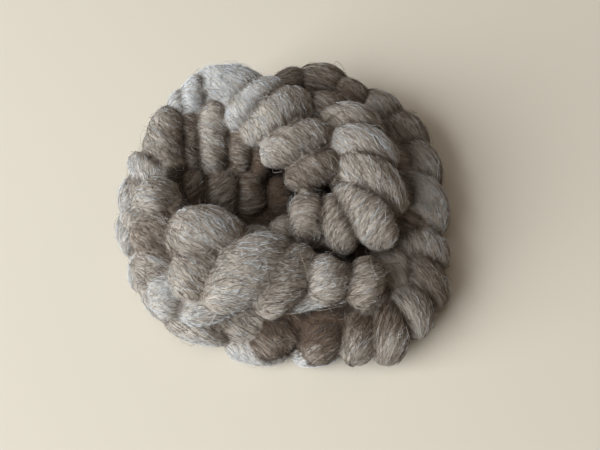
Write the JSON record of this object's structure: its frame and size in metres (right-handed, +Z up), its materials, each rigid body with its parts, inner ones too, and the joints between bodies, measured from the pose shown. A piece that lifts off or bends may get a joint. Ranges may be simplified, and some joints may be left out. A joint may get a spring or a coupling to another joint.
{
  "type": "wool combed top",
  "caption": "Length of natural grey-brown combed wool top, chained into a fat plait and coiled into a two-layer nest with a deep hollow.",
  "frame": {"origin": "on the surface it lies on, under the middle of the nest", "axes": "+Z up, +X to the right and +Y away as the nest is seen in its front view"},
  "size_m": [0.2182, 0.2078, 0.083],
  "materials": {
    "wool": "matte, softly lustrous combed fibre"
  },
  "bodies": {
    "root": {"wool_plait": "wool"}
  },
  "joints": []
}
